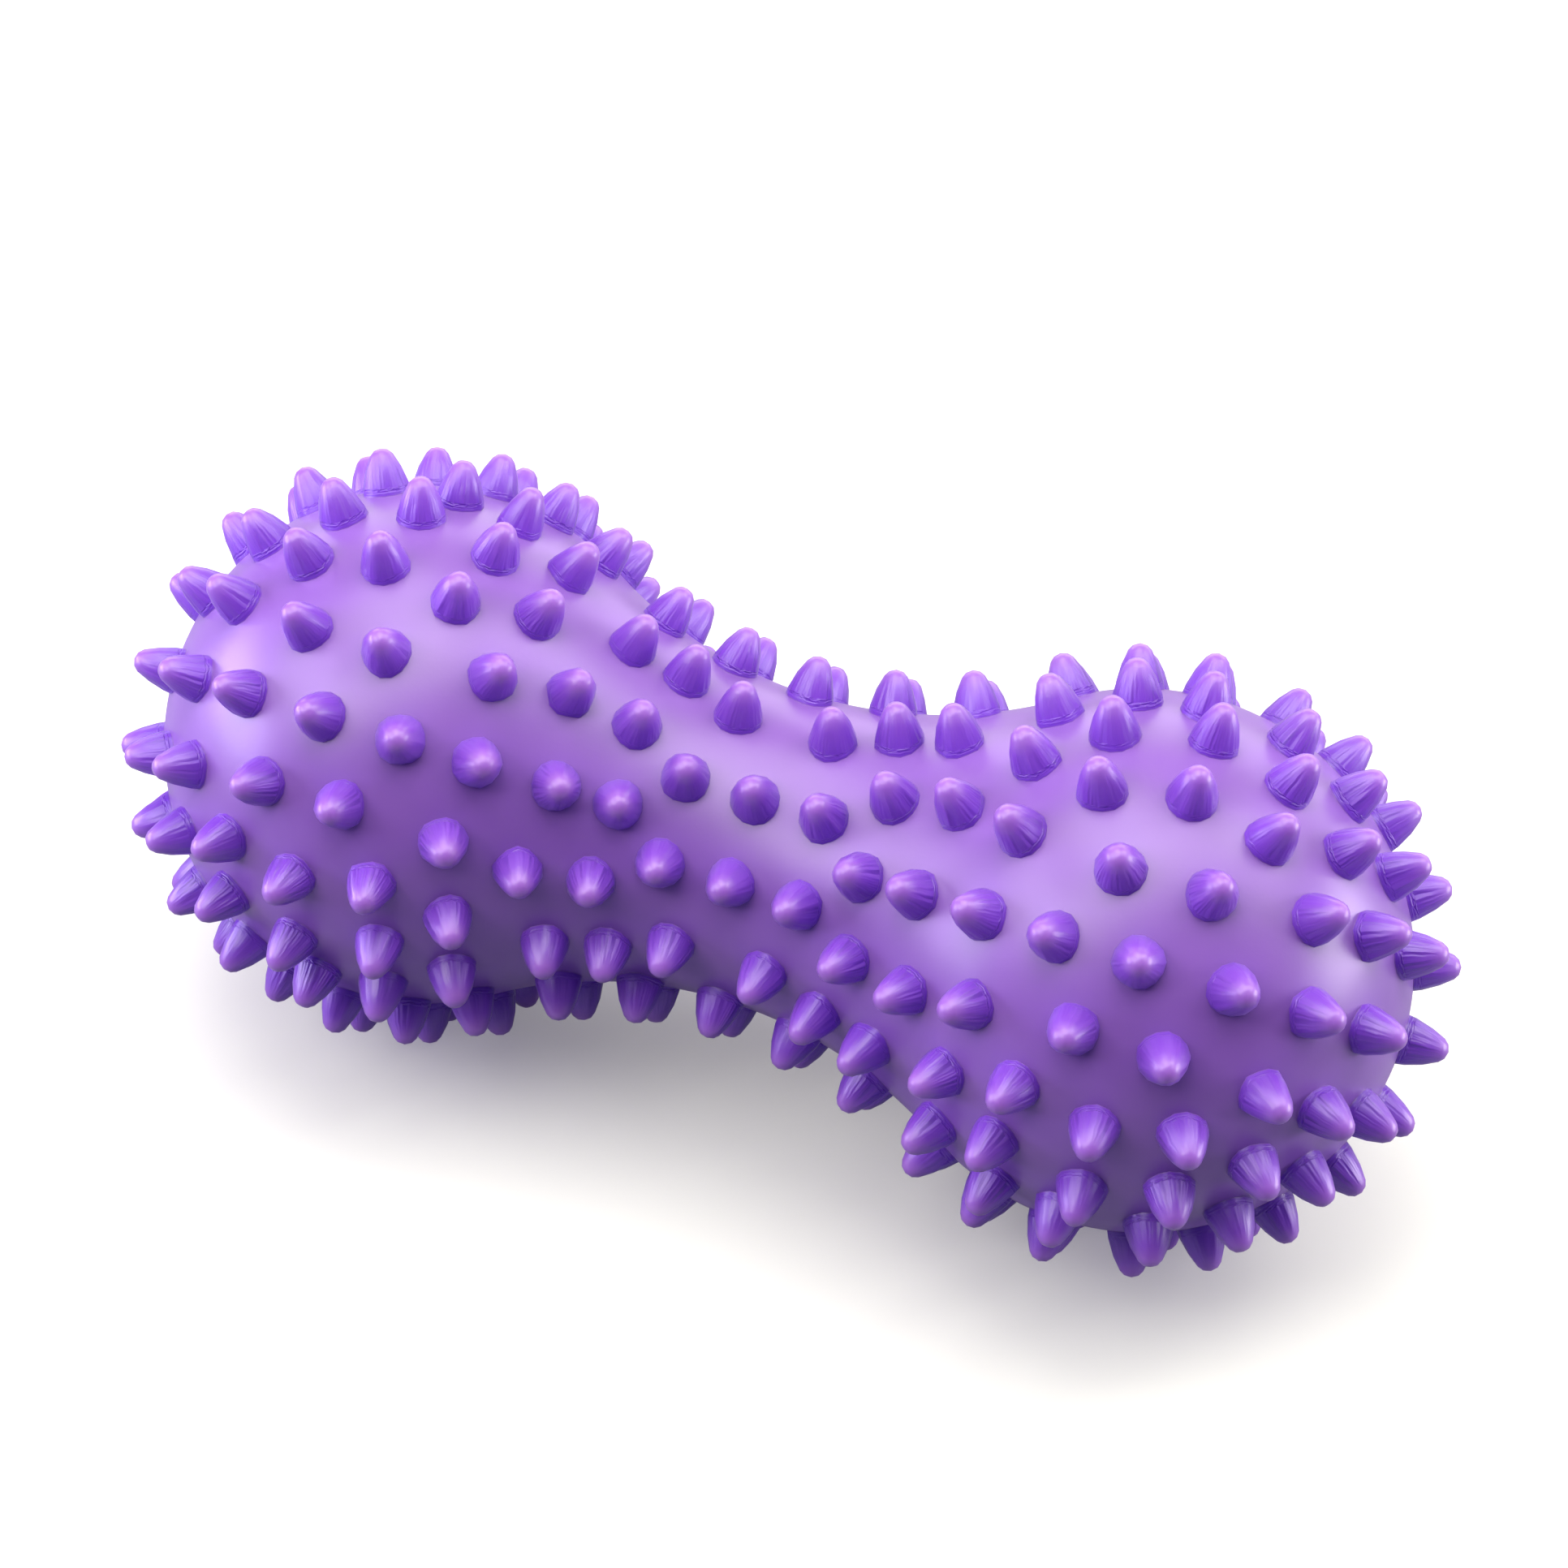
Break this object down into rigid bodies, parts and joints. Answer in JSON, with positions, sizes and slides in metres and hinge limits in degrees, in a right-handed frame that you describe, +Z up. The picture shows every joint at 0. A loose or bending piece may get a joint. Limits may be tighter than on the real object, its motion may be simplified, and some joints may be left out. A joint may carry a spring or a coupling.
{
  "type": "spiky massage roller",
  "caption": "Peanut-shaped soft hand roller: two balls joined by a waist, with round-tipped cone spikes all over for massage.",
  "frame": {"origin": "on the floor under the middle of the roller, as it lies at rest", "axes": "+X along the roller from ball to ball, +Z up, -Y towards the viewer of the front row of spikes"},
  "size_m": [0.156, 0.069, 0.069],
  "materials": {
    "soft_pvc": "satin"
  },
  "bodies": {
    "root": {"roller": "soft_pvc"}
  },
  "joints": []
}
